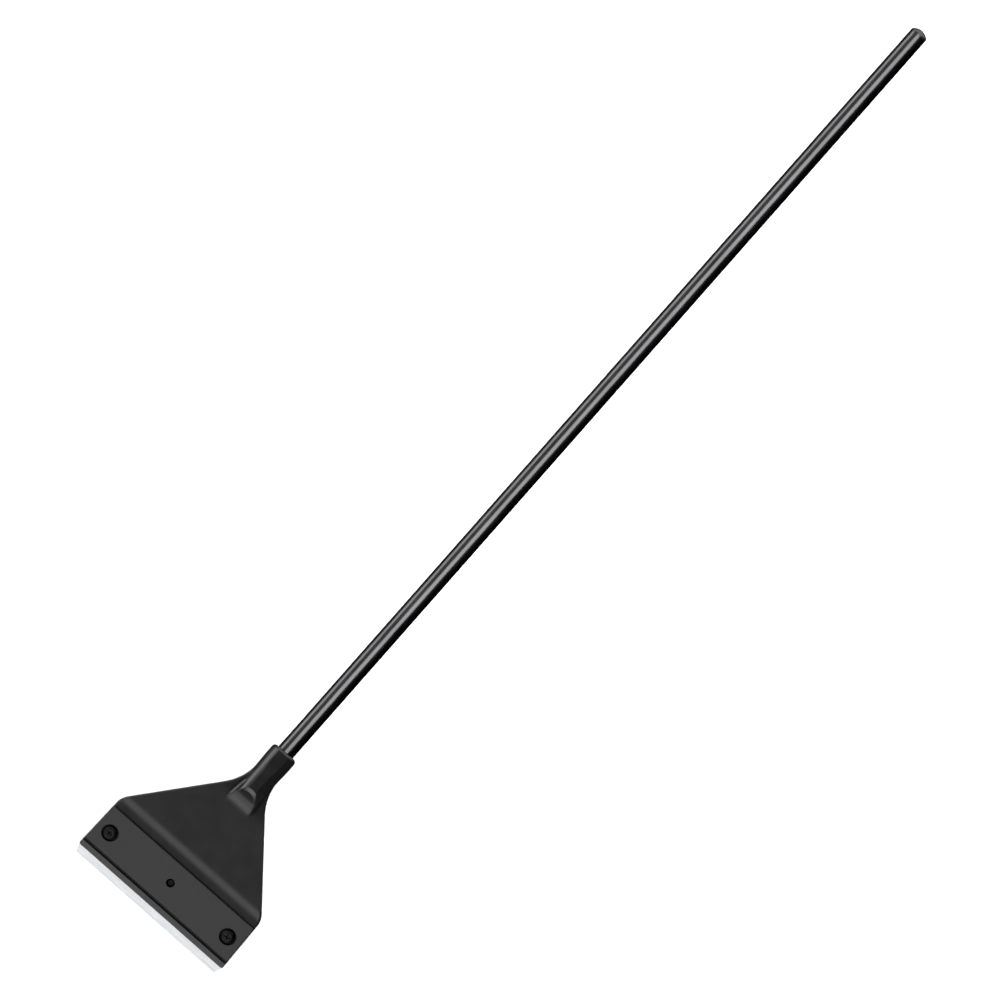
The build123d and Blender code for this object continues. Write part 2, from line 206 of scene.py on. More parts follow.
def wall_tone(axis, start, end, dark, bright):
    """Brightness of the room, which changes from one direction to another along an axis."""
    node = add(sky, "ShaderNodeMapRange", {
        "Value": split.outputs[axis], "From Min": start, "From Max": end, "To Min": dark, "To Max": bright})
    return node.outputs["Result"]


left_wall = wall_tone("X", -1.0, 0.25, 0.6, 0.0)
over_floor = wall_tone("Z", -0.35, 0.05, 0.15, 1.0)
tip_wall = wall_tone("Y", 0.55, 0.95, 0.0, 1.9)
sides = add(sky, "ShaderNodeMath", {0: left_wall, 1: over_floor}, operation="MULTIPLY")
tone = add(sky, "ShaderNodeMath", {0: sides.outputs[0], 1: tip_wall}, operation="ADD")
room = add(sky, "ShaderNodeBackground", {"Color": (1, 1, 1, 1), "Strength": 1.0})
seen_in_gloss = add(sky, "ShaderNodeBackground", {"Color": (1, 1, 1, 1), "Strength": tone.outputs[0]})
path = add(sky, "ShaderNodeLightPath")
both = add(sky, "ShaderNodeMixShader", {
    0: path.outputs["Is Glossy Ray"], 1: room.outputs[0], 2: seen_in_gloss.outputs[0]})
add(sky, "ShaderNodeOutputWorld", {"Surface": both.outputs[0]})


def softbox(name, place, target, size, radiance):
    """Rectangular lamp that faces a target, with its height along the tool.

    Its power follows from its radiance and its area.
    """
    lamp = bpy.data.lights.new(name, "AREA")
    lamp.shape = "RECTANGLE"
    lamp.size, lamp.size_y = size
    lamp.energy = radiance * math.pi * size[0] * size[1]
    obj = bpy.data.objects.new(name, lamp)
    bpy.context.scene.collection.objects.link(obj)
    obj.location = place
    back = (Vector(place) - Vector(target)).normalized()
    across = Vector((0, 1, 0)).cross(back).normalized()
    obj.rotation_euler = Matrix((across, back.cross(across), back)).transposed().to_euler()
    obj.visible_camera = False
    return obj


def around_handle(angle_from_up, distance, along):
    """Point at an angle to the right of straight up, seen from the handle's axis."""
    return (distance * math.sin(angle_from_up), along, HANDLE_Z + distance * math.cos(angle_from_up))


STRIP_HEIGHT = 0.25
STRIP_ANGLE = math.radians(4.0)
STRIP_WIDTH = 0.185
STRIP_START = tube_low.y - 0.05
STRIP_END = tool_high.y + 0.15
STRIP_MIDDLE = (STRIP_START + STRIP_END) / 2
LEFT_ANGLE = math.radians(-78)
LEFT_DISTANCE = 2.6
LEFT_ALONG = -0.1
FRONT_DISTANCE = 3.0
FRONT_WIDTH = 2.6

strip = softbox(
    "strip over the handle", around_handle(STRIP_ANGLE, STRIP_HEIGHT, STRIP_MIDDLE),
    (0, STRIP_MIDDLE, HANDLE_Z), (STRIP_WIDTH, STRIP_END - STRIP_START), 4.9)
softbox(
    "left softbox", around_handle(LEFT_ANGLE, LEFT_DISTANCE, LEFT_ALONG),
    (0, LEFT_ALONG, HANDLE_Z), (1.3, 3.4), 3.3)

head_target = Vector((0, tool_low.y + 0.05, HANDLE_Z))


def in_front(name, angle, height, radiance):
    """Softbox beyond the blade, at an angle in degrees down from straight up."""
    turn = math.radians(angle)
    place = head_target + FRONT_DISTANCE * Vector((0, -math.sin(turn), math.cos(turn)))
    softbox(name, place, head_target, (FRONT_WIDTH, height), radiance)


in_front("front softbox", 33, 1.1, 1.25)
in_front("lower front softbox", 54, 1.0, 2.8)
in_front("low front softbox", 79, 0.9, 3.6)

# %% [markdown]
# The strip is flagged off the head, as a studio does with a black card: it lights only the
# tube, its plug and the paper.

# %% Flag
lit_by_strip = bpy.data.collections.new("lit by the strip")
strip.light_linking.receiver_collection = lit_by_strip
lit_by_strip.objects.link(floor)

# %% [markdown]
# ## What moulded and machined surfaces have in common
# Every material below is built from the same few measured details, in real millimetres: a
# fine grain, slow changes in roughness, scratches in one direction, and edges that handling
# has polished or worn. Object coordinates are metres, so a pattern's scale is one over its
# real size.


# %% Detail nodes
def noise(tree, size_mm, detail=2.0, stretch=(1.0, 1.0, 1.0), seed=0.0):
    """Noise with features of a real size; stretch above one lengthens them along that axis."""
    place = add(tree, "ShaderNodeTexCoord").outputs["Object"]
    moved = add(tree, "ShaderNodeMapping", {
        "Vector": place,
        "Location": (seed, 0.7 * seed, 1.3 * seed),
        "Scale": tuple(1.0 / k for k in stretch),
    })
    texture = add(tree, "ShaderNodeTexNoise", {
        "Vector": moved.outputs[0], "Scale": 1.0 / (size_mm * MM), "Detail": detail, "Roughness": 0.55})
    return texture.outputs["Fac"]


def remap(tree, value, low, high, to_low, to_high):
    """Map a range of values to another, clamped."""
    node = add(tree, "ShaderNodeMapRange", {
        "Value": value, "From Min": low, "From Max": high, "To Min": to_low, "To Max": to_high})
    return node.outputs["Result"]


def edge_mask(tree, radius_mm, low=0.015, high=0.18):
    """One on sharp edges and zero on flats: how far a rounded normal leans off the true one."""
    rounded = add(tree, "ShaderNodeBevel", {"Radius": radius_mm * MM}, samples=4).outputs[0]
    true_normal = add(tree, "ShaderNodeNewGeometry").outputs["True Normal"]
    dot = add(tree, "ShaderNodeVectorMath", {0: rounded, 1: true_normal}, operation="DOT_PRODUCT")
    return remap(tree, subtract(tree, 1.0, dot.outputs["Value"]), low, high, 0.0, 1.0)


def painted_crevice_shade(tree, reach_mm):
    """Painted shade mask from ambient occlusion: zero in narrow grooves and holes, one in the open."""
    shade = add(tree, "ShaderNodeAmbientOcclusion", {"Distance": reach_mm * MM}, samples=4).outputs["AO"]
    return remap(tree, shade, 0.42, 0.85, 0.0, 1.0)


def multiply(tree, a, b):
    """Product of two values."""
    return add(tree, "ShaderNodeMath", {0: a, 1: b}, operation="MULTIPLY").outputs[0]


def subtract(tree, a, b):
    """Difference of two values."""
    return add(tree, "ShaderNodeMath", {0: a, 1: b}, operation="SUBTRACT").outputs[0]


def plus(tree, a, b):
    """Sum of two values."""
    return add(tree, "ShaderNodeMath", {0: a, 1: b}, operation="ADD").outputs[0]


def blend(tree, factor, a, b):
    """Mix two colours."""
    node = add(tree, "ShaderNodeMix", data_type="RGBA")
    for socket, value in ((node.inputs[0], factor), (node.inputs[6], a), (node.inputs[7], b)):
        if isinstance(value, bpy.types.NodeSocket):
            tree.links.new(value, socket)
        else:
            socket.default_value = value
    return node.outputs[2]


def bump(tree, shader, *layers, rounding_mm=0.0):
    """Stack bump layers of (height, distance in mm) over a slightly rounded normal."""
    normal = None
    if rounding_mm:
        normal = add(tree, "ShaderNodeBevel", {"Radius": rounding_mm * MM}, samples=4).outputs[0]
    for height, distance_mm in layers:
        inputs = {"Height": height, "Distance": distance_mm * MM, "Strength": 1.0}
        if normal is not None:
            inputs["Normal"] = normal
        normal = add(tree, "ShaderNodeBump", inputs).outputs[0]
    tree.links.new(normal, shader.inputs["Normal"])


# %% [markdown]
# ## Black ABS
# The head and the plate are injection moulded in black ABS. The mould is spark eroded, which
# leaves a satin grain of about a quarter of a millimetre, so highlights spread and stay dim.
# Corners and edges are rubbed smoother and a little paler, and fine scratches run with the
# strokes, along the handle. Grooves and holes are painted near black, with their gloss turned
# down too: painted shade.


# %% Moulded plastic
POLISHED_FROM = tube_low.y - 24 * MM
POLISH_FADE = 6 * MM


def moulded_plastic(name, base, worn, roughness, grain_mm, grain_height_mm, polished_from=None):
    """ABS from a spark-eroded mould; beyond polished_from, along the handle, the mould is polished."""
    material, tree, shader = new_material(name, IOR=1.53)
    slow = remap(tree, noise(tree, 9.0, 3.0, seed=2.0), 0.3, 0.7, 0.0, 1.0)
    grain = noise(tree, grain_mm, 3.0, seed=5.0)
    scratches = noise(tree, 0.22, 1.0, stretch=(1.0, 60.0, 1.0), seed=9.0)
    scratch_mask = remap(tree, scratches, 0.66, 0.72, 0.0, 1.0)
    edges = edge_mask(tree, 0.5)
    painted_shade_factor = painted_crevice_shade(tree, 1.9)
    tone = blend(tree, slow, linear(base), linear(worn))
    rubbed = blend(tree, multiply(tree, edges, 0.6), tone, linear("#2b2b2c"))
    # Base colour goes near black in grooves and holes: painted shade from the occlusion mask.
    tree.links.new(blend(tree, painted_shade_factor, linear("#020202"), rubbed), shader.inputs["Base Color"])
    rough = remap(tree, slow, 0.0, 1.0, roughness - 0.03, roughness + 0.04)
    if polished_from is not None:
        place = add(tree, "ShaderNodeTexCoord").outputs["Object"]
        along = add(tree, "ShaderNodeSeparateXYZ", {0: place}).outputs["Y"]
        polish = remap(tree, along, polished_from, polished_from + POLISH_FADE, 0.0, 1.0)
        rough = subtract(tree, rough, multiply(tree, polish, 0.2))
        grain = multiply(tree, grain, remap(tree, polish, 0.0, 1.0, 1.0, 0.35))
    tree.links.new(subtract(tree, rough, multiply(tree, edges, 0.1)), shader.inputs["Roughness"])
    # Gloss is turned down in the same grooves: painted shade on the highlights.
    tree.links.new(remap(tree, painted_shade_factor, 0.0, 1.0, 0.02, 0.5), shader.inputs["Specular IOR Level"])
    bump(tree, shader, (grain, grain_height_mm), (scratch_mask, -0.004), rounding_mm=0.18)
    return material


# The satin grain spreads the light, so the head looks dull black and shows its bends by tone.
# The socket is polished in the mould, which gives it one clear highlight along its left side.
head_plastic = moulded_plastic(
    "black ABS, satin spark-eroded", "#0f0f10", "#161617", 0.52, 0.28, 0.012, polished_from=POLISHED_FROM)
plate_plastic = moulded_plastic("black ABS plate, satin spark-eroded", "#101011", "#171718", 0.48, 0.24, 0.010)
plug_plastic = moulded_plastic("black ABS plug, polished mould", "#0a0a0b", "#121213", 0.24, 0.5, 0.002)

# %% [markdown]
# ## Steel, brass and black anodised aluminium
# The blade is ground stainless strip: fine lines along its length, a finer and rougher bevel at
# each long edge that is painted greyer as painted shade for its angle, and a faint blue-grey
# from the rolling oil. The tube is drawn aluminium, polished and black anodised: a clear dark
# mirror with long faint drawing lines and a slight unevenness of the film. Screws and washers
# are black oxide steel that shows bright metal on its edges. Inserts are turned brass, the pin
# is black oxide steel and the stud is zinc-plated steel.


# %% Blade steel
BEVEL_WIDTH = 1.7 * MM


def ground_blade():
    """Lines ground along the blade, and a rougher bevel at its edge that is painted darker as painted shade."""
    material, tree, shader = new_material("ground stainless steel blade", Metallic=1.0, Anisotropic=0.35)
    lines = noise(tree, 0.12, 2.0, stretch=(80.0, 1.0, 1.0), seed=3.0)
    cloud = noise(tree, 12.0, 2.0, stretch=(3.0, 1.0, 1.0), seed=7.0)
    to_clamp = CLAMP_FRAME.inverted()
    place = add(tree, "ShaderNodeTexCoord").outputs["Object"]
    in_frame = add(tree, "ShaderNodeMapping", {
        "Vector": place, "Location": to_clamp.translation, "Rotation": to_clamp.to_euler()})
    across = add(tree, "ShaderNodeSeparateXYZ", {0: in_frame.outputs[0]}).outputs["Y"]
    on_bevel = remap(tree, across, BEVEL_WIDTH * 0.92, BEVEL_WIDTH * 1.02, 1.0, 0.0)
    flat = blend(tree, remap(tree, cloud, 0.3, 0.7, 0.0, 1.0), linear("#cdcfd1"), linear("#d9dadc"))
    # The bevel band is painted greyer: painted shade for its angle. Its added roughness below is the real finer
    # grind.
    shaded = blend(tree, on_bevel, flat, linear("#b7babd"))
    streaked = blend(tree, remap(tree, lines, 0.35, 0.75, 0.0, 0.25), shaded, linear("#8e9093"))
    tree.links.new(streaked, shader.inputs["Base Color"])
    rough = plus(tree, remap(tree, lines, 0.3, 0.7, 0.24, 0.36), multiply(tree, on_bevel, 0.08))
    tree.links.new(rough, shader.inputs["Roughness"])
    bump(tree, shader, (lines, 0.0015))
    return material


# %% [markdown]
# Drawing leaves the tube's lines along its length, so they are stretched noise in that
# direction. To the eye it is a dark mirror: a narrow highlight, and black beside it.

# %% Anodised aluminium
def anodised_tube():
    """Dark mirror with drawing lines along the tube, rubs, and bright metal at the cut ends."""
    material, tree, shader = new_material("black anodised aluminium", Metallic=1.0)
    drawn = noise(tree, 0.10, 2.0, stretch=(1.0, 900.0, 1.0), seed=1.0)
    film = noise(tree, 7.0, 3.0, stretch=(1.0, 3.0, 1.0), seed=4.0)
    rubs = noise(tree, 0.25, 1.0, stretch=(1.0, 40.0, 1.0), seed=8.0)
    rub_mask = remap(tree, rubs, 0.68, 0.74, 0.0, 1.0)
    tone = blend(tree, remap(tree, film, 0.3, 0.7, 0.0, 1.0), linear("#474748"), linear("#4f4f50"))
    rubbed = blend(tree, multiply(tree, rub_mask, 0.25), tone, linear("#7a7a7c"))
    worn = blend(tree, multiply(tree, edge_mask(tree, 0.25), 0.7), rubbed, linear("#a9aaac"))
    tree.links.new(worn, shader.inputs["Base Color"])
    rough = plus(tree, remap(tree, film, 0.3, 0.7, 0.20, 0.25), multiply(tree, rub_mask, 0.08))
    tree.links.new(rough, shader.inputs["Roughness"])
    bump(tree, shader, (drawn, 0.0008), (film, 0.004))
    return material


# %% [markdown]
# One function makes every small part, because they differ only in colour, in roughness and in
# how much bright metal their edges show.

# %% Small metal parts
def turned_metal(name, deep, face, bright, roughness, wear):
    """Small turned or cold-formed metal: a face with random stains, painted shade darkening its hollows, and
    bright worn edges.
    """
    material, tree, shader = new_material(name, Metallic=1.0)
    marks = noise(tree, 0.08, 2.0, seed=6.0)
    stain = noise(tree, 1.2, 3.0, seed=3.0)
    tone = blend(tree, remap(tree, stain, 0.35, 0.7, 0.0, 1.0), linear(deep), linear(face))
    worn = blend(tree, multiply(tree, edge_mask(tree, 0.15), wear), tone, linear(bright))
    # Hollows are painted near black: painted shade from the occlusion mask.
    painted_hollow_shade = blend(tree, painted_crevice_shade(tree, 1.0), linear("#0a0a0a"), worn)
    tree.links.new(painted_hollow_shade, shader.inputs["Base Color"])
    tree.links.new(remap(tree, stain, 0.3, 0.7, roughness, roughness + 0.12), shader.inputs["Roughness"])
    bump(tree, shader, (marks, 0.002), rounding_mm=0.08)
    return material


blade_steel = ground_blade()
tube_metal = anodised_tube()
screw_steel = turned_metal("black oxide steel screw", "#1c1c1d", "#2b2b2d", "#8d8e90", 0.34, 0.75)
washer_steel = turned_metal("black oxide steel washer", "#161617", "#222224", "#6d6e70", 0.40, 0.7)
pin_steel = turned_metal("black oxide steel pin", "#1a1a1b", "#2a2a2c", "#5c5d5f", 0.42, 0.5)
stud_steel = turned_metal("zinc-plated steel stud", "#8d8f92", "#b4b6b9", "#d5d6d8", 0.30, 0.6)
insert_brass = turned_metal("turned brass", "#8a6a34", "#c39a52", "#e6c688", 0.28, 0.6)
print("materials:", len(bpy.data.materials))

# %% [markdown]
# ## Where the turned pieces stand
# A washer, an insert or a pin is a cylinder on a known axis, so the box of its node gives its
# middle, its radius and its length. The box of a tilted cylinder is 2r sin(tilt) + L cos(tilt)
# high. The tube, the stud and the plug lie along the handle.


# %% Places
def place_on(axis_point, direction):
    """Frame with its origin at a point and its Z along a direction."""
    turn = Vector((0, 0, 1)).rotation_difference(direction).to_matrix().to_4x4()
    return Matrix.Translation(axis_point) @ turn


def clamp_cylinder(node):
    """Middle, radius and length of a cylinder that stands square to the blade."""
    low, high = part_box(node)
    radius = (high.x - low.x) / 2
    length = (high.z - low.z - 2 * radius * math.sin(CLAMP_TILT)) / math.cos(CLAMP_TILT)
    return (low + high) / 2, radius, length


ALONG_HANDLE = Vector((0, 1, 0))


def on_handle(along):
    """Frame on the handle's axis with its Z towards the tip."""
    return place_on(Vector((0, along, HANDLE_Z)), ALONG_HANDLE)


for node in ("left_washer", "left_insert"):
    middle, radius, length = clamp_cylinder(node)
    print(node, "radius", round(radius / MM, 2), "length", round(length / MM, 2), "mm")

# %% [markdown]
# ## Geometry Nodes helpers
# A tree is written once with named inputs and used for every size. The result is turned into a
# plain mesh and moved to its place, so that the finished piece sits at the origin.


# %% Tree helpers
def new_tree(name, **inputs):
    """Geometry tree with named inputs, and the sockets that carry them."""
    tree = bpy.data.node_groups.new(name, "GeometryNodeTree")
    for label, default in inputs.items():
        kind = "NodeSocketInt" if isinstance(default, int) else "NodeSocketFloat"
        socket = tree.interface.new_socket(label.replace("_", " "), in_out="INPUT", socket_type=kind)
        socket.default_value = default
    tree.interface.new_socket("Finish", in_out="INPUT", socket_type="NodeSocketMaterial")
    tree.interface.new_socket("Geometry", in_out="OUTPUT", socket_type="NodeSocketGeometry")
    return tree, add(tree, "NodeGroupInput").outputs


def close_tree(tree, geometry, finish):
    """End a tree: real geometry, with its material on it."""
    real = add(tree, "GeometryNodeRealizeInstances", {0: geometry}).outputs[0]
    dressed = add(tree, "GeometryNodeSetMaterial", {"Geometry": real, "Material": finish}).outputs[0]
    add(tree, "NodeGroupOutput", {0: dressed})


def calc(tree, operation, *values):
    """One maths node."""
    return add(tree, "ShaderNodeMath", dict(enumerate(values)), operation=operation).outputs[0]


def grow(name, tree, finish, place, **values):
    """Evaluate a tree with its inputs set, and return the plain mesh moved to its place."""
    carrier = bpy.data.objects.new(name + "_carrier", bpy.data.meshes.new(name + "_carrier"))
    bpy.context.scene.collection.objects.link(carrier)
    modifier = carrier.modifiers.new("tree", "NODES")
    modifier.node_group = tree
    wanted = {label.replace("_", " "): value for label, value in values.items()}
    wanted["Finish"] = finish
    for item in tree.interface.items_tree:
        if item.in_out == "INPUT" and item.name in wanted:
            modifier[item.identifier] = wanted[item.name]
    bpy.context.view_layer.update()
    mesh = bpy.data.meshes.new_from_object(carrier.evaluated_get(bpy.context.evaluated_depsgraph_get()))
    bpy.data.objects.remove(carrier)
    mesh.transform(place)
    mesh.name = name
    return mesh


def stand(name, mesh, body, slot, *nodes):
    """Put a finished mesh in the scene in place of its CAD nodes."""
    obj = bpy.data.objects.new(name, mesh)
    bpy.context.scene.collection.objects.link(obj)
    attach(obj, body)
    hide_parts(*nodes)
    print(name, "triangles:", sum(len(p.vertices) - 2 for p in mesh.polygons))
    return obj


# %% [markdown]
# ## Screw threads
# A rolled thread is a ridge that winds round the shank once per pitch. One grid is rolled into
# a cylinder, and each point's radius drops by the thread's triangular profile, which depends
# on its height and its angle together. The thread runs out at both ends to its core, where
# flat caps close it. This is exact for any size, so the M4 screws and the M6 stud share it.

# %% Thread tree
SEAM_GAP = 0.002 * MM

thread_tree, given = new_tree(
    "rolled thread", Radius=2.0 * MM, Pitch=0.7 * MM, Depth=0.43 * MM, Length=6.0 * MM, Segments=96, Rows=90)
core = calc(thread_tree, "SUBTRACT", given["Radius"], given["Depth"])
side_points = calc(thread_tree, "ADD", given["Segments"], 1.0)
grid = add(thread_tree, "GeometryNodeMeshGrid", {
    "Size X": math.tau, "Size Y": given["Length"], "Vertices X": side_points, "Vertices Y": given["Rows"]})
spot = add(thread_tree, "ShaderNodeSeparateXYZ", {0: add(thread_tree, "GeometryNodeInputPosition").outputs[0]})
height = calc(thread_tree, "MULTIPLY_ADD", given["Length"], 0.5, spot.outputs["Y"])
turns = calc(thread_tree, "SUBTRACT",
             calc(thread_tree, "DIVIDE", height, given["Pitch"]),
             calc(thread_tree, "DIVIDE", spot.outputs["X"], math.tau))
ridge = calc(thread_tree, "PINGPONG", turns, 0.5)
threaded = calc(thread_tree, "MULTIPLY_ADD", calc(thread_tree, "MULTIPLY", ridge, 2.0), given["Depth"], core)
tip = calc(thread_tree, "ADD", core, height)
root = calc(thread_tree, "ADD", core, calc(thread_tree, "SUBTRACT", given["Length"], height))
radius = calc(thread_tree, "MINIMUM", calc(thread_tree, "MINIMUM", threaded, tip), root)
rolled = add(thread_tree, "ShaderNodeCombineXYZ", {
    "X": calc(thread_tree, "MULTIPLY", radius, calc(thread_tree, "COSINE", spot.outputs["X"])),
    "Y": calc(thread_tree, "MULTIPLY", radius, calc(thread_tree, "SINE", spot.outputs["X"])),
    "Z": height})
wrapped = add(thread_tree, "GeometryNodeSetPosition", {
    "Geometry": grid.outputs["Mesh"], "Position": rolled.outputs[0]})
cap = add(thread_tree, "GeometryNodeMeshCircle", {
    "Vertices": given["Segments"], "Radius": core}, fill_type="NGON")
top_cap = add(thread_tree, "GeometryNodeTransform", {
    "Geometry": cap.outputs[0],
    "Translation": add(thread_tree, "ShaderNodeCombineXYZ", {"Z": given["Length"]}).outputs[0]})
bottom_cap = add(thread_tree, "GeometryNodeFlipFaces", {"Mesh": cap.outputs[0]})
joined = add(thread_tree, "GeometryNodeJoinGeometry")
for part in (bottom_cap, top_cap, wrapped):
    thread_tree.links.new(part.outputs[0], joined.inputs[0])
sealed = add(thread_tree, "GeometryNodeMergeByDistance", {
    "Geometry": joined.outputs[0], "Distance": SEAM_GAP})
close_tree(thread_tree, sealed.outputs[0], given["Finish"])

# %% [markdown]
# ## Sleeves
# The tube and the brass inserts are all sleeves: the section of the wall carried round a
# circle. Rounding the section's corners gives the machined edges. A straight knurl is cut into
# the outside by letting the radius drop with the angle, and a groove round the middle is what
# holds a real insert in its plastic. The tube uses the same tree with no knurl.

# %% Sleeve tree
OUTER_PART = 0.35           # of the wall, beyond which a point is on the outside
GROOVE_PART = 0.12          # of the length, to each side of the middle

sleeve_tree, given = new_tree(
    "turned sleeve", Outer_Radius=2.6 * MM, Wall=0.55 * MM, Length=4.0 * MM, Edge=0.12 * MM,
    Knurls=24, Knurl_Depth=0.12 * MM, Groove_Depth=0.2 * MM, Segments=192, Cuts=10)
half_wall = calc(sleeve_tree, "MULTIPLY", given["Wall"], 0.5)
middle_radius = calc(sleeve_tree, "SUBTRACT", given["Outer Radius"], half_wall)
ring = add(sleeve_tree, "GeometryNodeCurvePrimitiveCircle", {
    "Resolution": given["Segments"], "Radius": middle_radius}, mode="RADIUS")
section = add(sleeve_tree, "GeometryNodeCurvePrimitiveQuadrilateral", {
    "Width": given["Wall"], "Height": given["Length"]}, mode="RECTANGLE")
rounded = add(sleeve_tree, "GeometryNodeFilletCurve", {
    "Curve": section.outputs[0], "Radius": given["Edge"], "Count": 4}, mode="POLY")
finer = add(sleeve_tree, "GeometryNodeSubdivideCurve", {"Curve": rounded.outputs[0], "Cuts": given["Cuts"]})
swept = add(sleeve_tree, "GeometryNodeCurveToMesh", {
    "Curve": ring.outputs[0], "Profile Curve": finer.outputs[0]})
where = add(sleeve_tree, "GeometryNodeInputPosition").outputs[0]
spot = add(sleeve_tree, "ShaderNodeSeparateXYZ", {0: where})
angle = calc(sleeve_tree, "ARCTAN2", spot.outputs["Y"], spot.outputs["X"])
flat_spot = add(sleeve_tree, "ShaderNodeCombineXYZ", {"X": spot.outputs["X"], "Y": spot.outputs["Y"]})
reach = add(sleeve_tree, "ShaderNodeVectorMath", {0: flat_spot.outputs[0]}, operation="LENGTH").outputs["Value"]
outward = calc(sleeve_tree, "DIVIDE", calc(sleeve_tree, "SUBTRACT", reach, middle_radius), given["Wall"])
outside = calc(sleeve_tree, "GREATER_THAN", outward, OUTER_PART)
tooth = calc(sleeve_tree, "PINGPONG",
             calc(sleeve_tree, "MULTIPLY", angle, calc(sleeve_tree, "DIVIDE", given["Knurls"], math.tau)), 0.5)
off_middle = calc(sleeve_tree, "DIVIDE", calc(sleeve_tree, "ABSOLUTE", spot.outputs["Z"]), given["Length"])
in_groove = calc(sleeve_tree, "LESS_THAN", off_middle, GROOVE_PART)
knurl = calc(sleeve_tree, "MULTIPLY", calc(sleeve_tree, "MULTIPLY", tooth, 2.0), given["Knurl Depth"])
drop = calc(sleeve_tree, "MAXIMUM", knurl, calc(sleeve_tree, "MULTIPLY", in_groove, given["Groove Depth"]))
radial = add(sleeve_tree, "ShaderNodeVectorMath", {0: flat_spot.outputs[0]}, operation="NORMALIZE")
lowered = calc(sleeve_tree, "MULTIPLY", calc(sleeve_tree, "MULTIPLY", drop, outside), -1.0)
inward = add(sleeve_tree, "ShaderNodeVectorMath", {0: radial.outputs[0], "Scale": lowered}, operation="SCALE")
cut = add(sleeve_tree, "GeometryNodeSetPosition", {"Geometry": swept.outputs[0], "Offset": inward.outputs[0]})
close_tree(sleeve_tree, cut.outputs[0], given["Finish"])

# %% [markdown]
# ## Brass inserts
# Two M4 inserts hold the clamp screws and an M6 insert at the bottom of the socket holds the
# stud. They are almost out of sight, but they show when the tool is taken apart.

# %% Inserts
BORE_GAP = 0.05 * MM
M4_RADIUS = 2.0 * MM
M6_RADIUS = 3.0 * MM

for side in ("left", "right"):
    node = side + "_insert"
    middle, radius, length = clamp_cylinder(node)
    mesh = grow(node, sleeve_tree, insert_brass, place_on(middle, CLAMP_NORMAL),
                Outer_Radius=radius, Wall=radius - M4_RADIUS - BORE_GAP, Length=length)
    stand(side + "_brass_insert", mesh, "head", "insert_brass", node)

low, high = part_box("socket_insert")
radius = (high.x - low.x) / 2
mesh = grow(
    "socket_insert", sleeve_tree, insert_brass, on_handle((low.y + high.y) / 2), Outer_Radius=radius,
    Wall=radius - M6_RADIUS - BORE_GAP, Length=high.y - low.y, Edge=0.2 * MM, Knurls=32)
stand("socket_brass_insert", mesh, "head", "insert_brass", "socket_insert")

# %% [markdown]
# ## The tube
# A plain drawn tube, cut and deburred. Its wall is 1 mm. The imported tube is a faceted
# cylinder, so the tube is swept again with enough segments for a clean highlight.

# %% Tube
TUBE_WALL = 1.0 * MM
mesh = grow("handle_tube", sleeve_tree, tube_metal, on_handle((tube_low.y + tube_high.y) / 2),
            Outer_Radius=TUBE_RADIUS, Wall=TUBE_WALL, Length=tube_high.y - tube_low.y, Edge=0.15 * MM,
            Knurl_Depth=0.0, Groove_Depth=0.0, Cuts=2)
smooth_tube = stand("anodised_tube", mesh, "handle", "tube_coating", "handle_tube")
print("tube, mm:", [round(v / MM, 1) for v in smooth_tube.dimensions])

# %% [markdown]
# ## Turned profiles
# Washers, pin, plug and screw heads are profiles spun round an axis. The profile is a list of
# (radius, height) points from the bottom of the piece to its top.


# %% Lathe
def lathe(name, profile, finish, place=None, segments=96):
    """Spin a profile round Z, close it, and return the mesh."""
    shape = bmesh.new()
    rings = []
    for radius, height in profile:
        if radius == 0:
            rings.append([shape.verts.new((0, 0, height))])
        else:
            spots = [(radius * math.cos(math.tau * k / segments), radius * math.sin(math.tau * k / segments))
                     for k in range(segments)]
            rings.append([shape.verts.new((x, y, height)) for x, y in spots])
    for lower, upper in zip(rings, rings[1:]):
        for k in range(segments):
            around = ((lower, k), (lower, k + 1), (upper, k + 1), (upper, k))
            corners = [ring[step % len(ring)] for ring, step in around]
            shape.faces.new(list(dict.fromkeys(corners)))
    if profile[0] == profile[-1]:
        bmesh.ops.remove_doubles(shape, verts=shape.verts, dist=0.0001 * MM)
    bmesh.ops.recalc_face_normals(shape, faces=shape.faces)
    mesh = bpy.data.meshes.new(name)
    shape.to_mesh(mesh)
    shape.free()
    mesh.materials.append(finish)
    if place is not None:
        mesh.transform(place)
    return mesh


def arc(centre_radius, centre_height, radius, start, end, steps=8):
    """Points of an arc in a profile, angles in degrees from the outward direction."""
    turns = [math.radians(start + (end - start) * k / steps) for k in range(steps + 1)]
    return [(centre_radius + radius * math.cos(t), centre_height + radius * math.sin(t)) for t in turns]


# %% [markdown]
# ## Stud and plug
# The stud screws into the socket's insert, and its plain end is pressed into the tube. The
# plug closes the tube's upper end with a low dome.

# %% Stud
STUD_CHAMFER = 0.3 * MM
SPIGOT_CHAMFER = 0.5 * MM


def merge(name, *meshes):
    """Join plain meshes that share one material into one mesh."""
    shape = bmesh.new()
    for mesh in meshes:
        shape.from_mesh(mesh)
    joined_mesh = bpy.data.meshes.new(name)
    shape.to_mesh(joined_mesh)
    shape.free()
    joined_mesh.materials.append(meshes[0].materials[0])
    return joined_mesh


